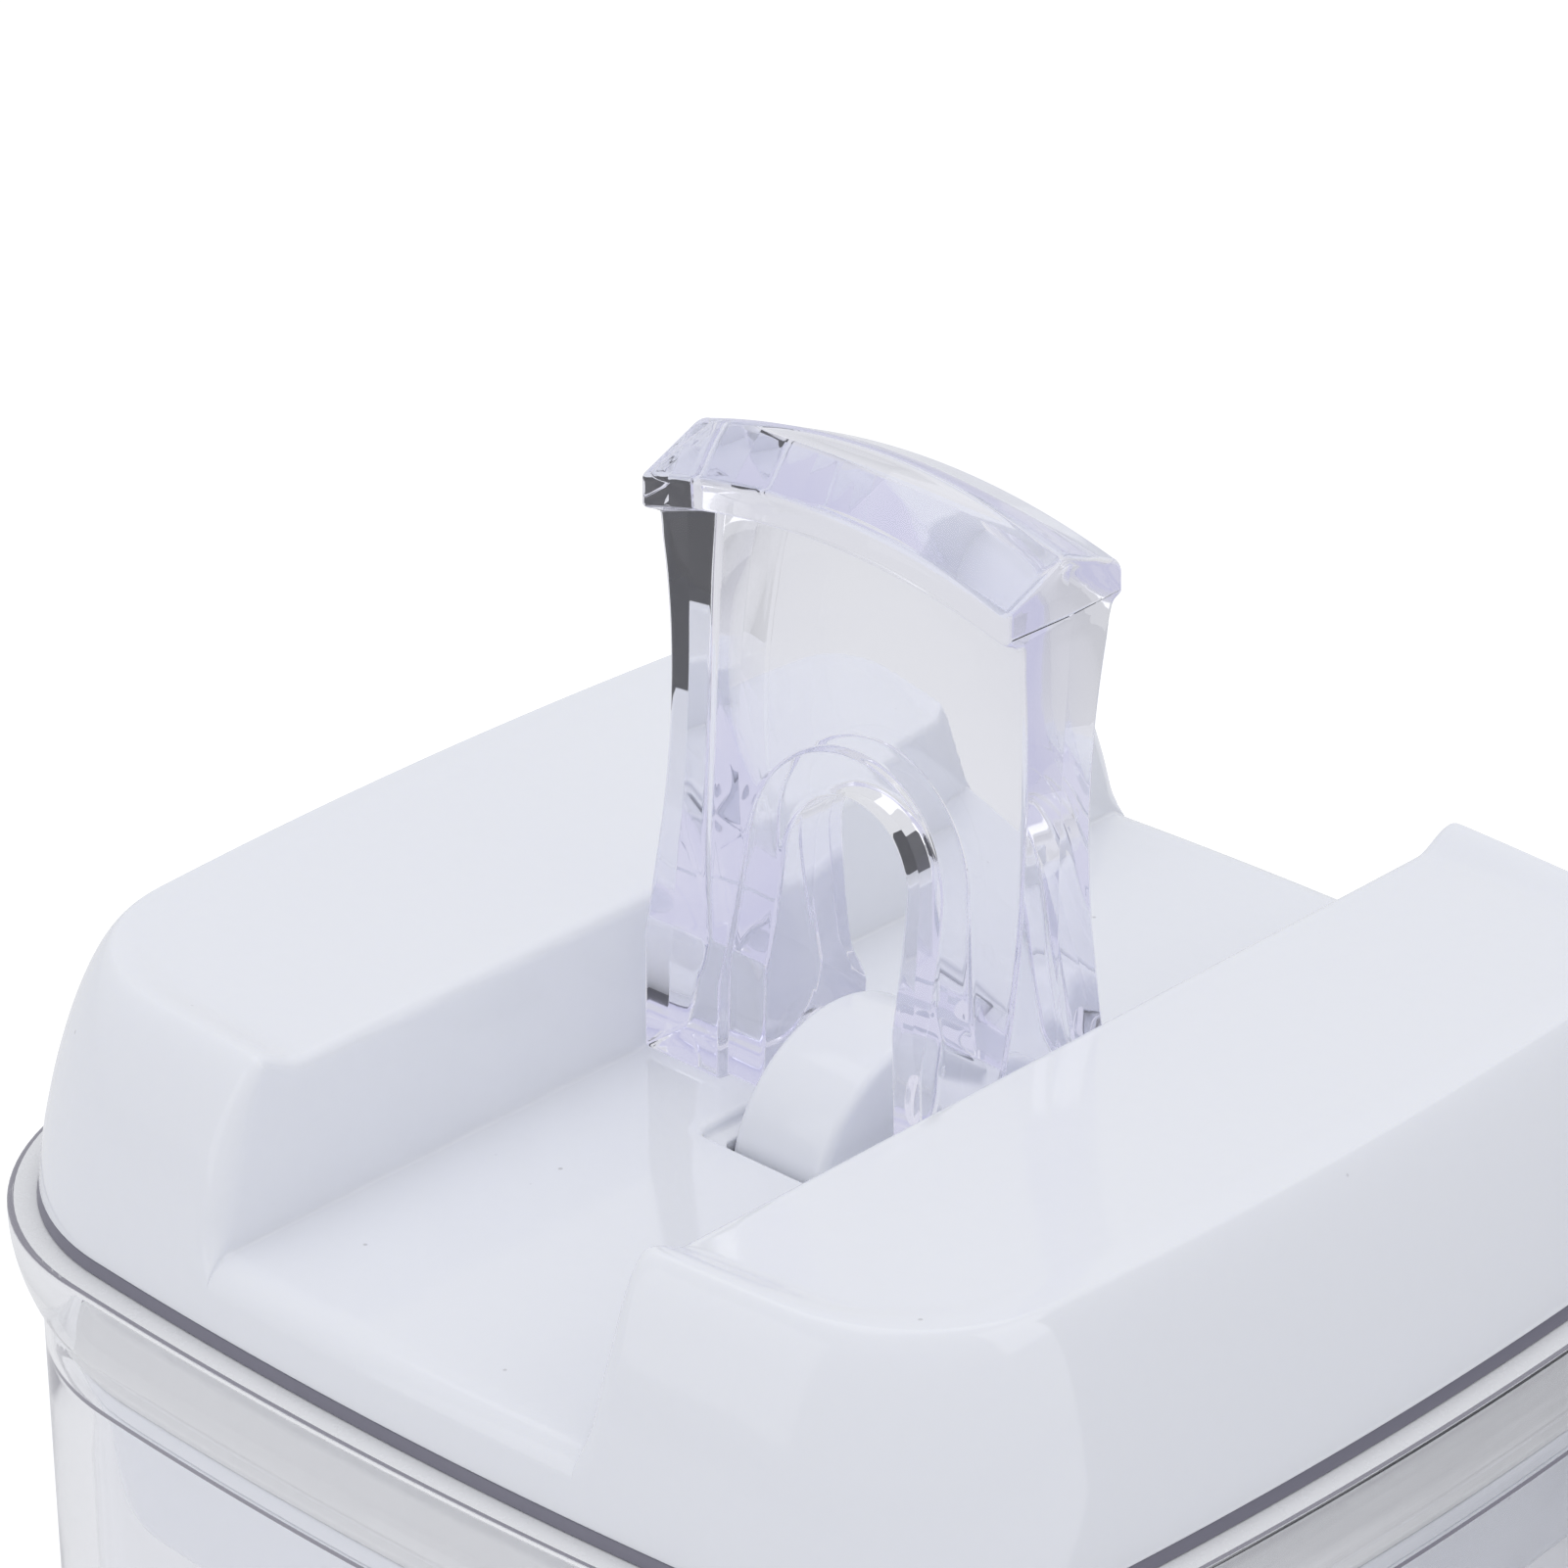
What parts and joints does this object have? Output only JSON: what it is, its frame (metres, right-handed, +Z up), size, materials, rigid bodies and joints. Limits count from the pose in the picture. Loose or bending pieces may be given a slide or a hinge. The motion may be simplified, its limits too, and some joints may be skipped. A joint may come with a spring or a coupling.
{
  "type": "storage jar",
  "caption": "Square clear kitchen storage jar with a white channelled lid and a clear flip lever that lifts an inner plate and squeezes a silicone ring to seal the mouth.",
  "frame": {"origin": "on the table under the middle of the jar", "axes": "+Z up, X across the lid's channel, Y along it; the lever folds down towards +Y"},
  "size_m": [0.1048, 0.1048, 0.1895],
  "materials": {
    "clear_jar": "clear, polished",
    "clear_lever": "clear, faintly violet, polished",
    "white_lid": "glossy moulded white",
    "silicone": "milky, satin",
    "steel": "bright zinc-plated wire and screws"
  },
  "bodies": {
    "jar": {"jar_body": "clear_jar"},
    "lid": {"lid_cover": "white_lid", "lid_base": "white_lid", "base_screws": "steel", "gasket": "silicone", "return_spring_left": "steel", "return_spring_right": "steel"},
    "plunger": {"stem": "white_lid", "stem_screws": "steel", "inner_plate": "white_lid", "bottom_cover": "white_lid"},
    "lever": {"lever": "clear_lever"}
  },
  "joints": [
    {"name": "lid_lift", "type": "slide", "parent": "jar", "child": "lid", "axis": [0, 0, 1], "range_m": [0, 0.06]},
    {"name": "plunger_lift", "type": "slide", "parent": "lid", "child": "plunger", "axis": [0, 0, 1], "range_m": [0, 0.003], "deforming": ["gasket", "return_spring_left", "return_spring_right"]},
    {"name": "lever_fold", "type": "hinge", "parent": "plunger", "child": "lever", "pos_m": [0, 0, 0.1415], "axis": [-1, 0, 0], "range_deg": [0, 90]}
  ],
  "couplings": [
    {"joint": "plunger_lift", "follows": "lever_fold", "m_per_rad": 0.0019}
  ]
}
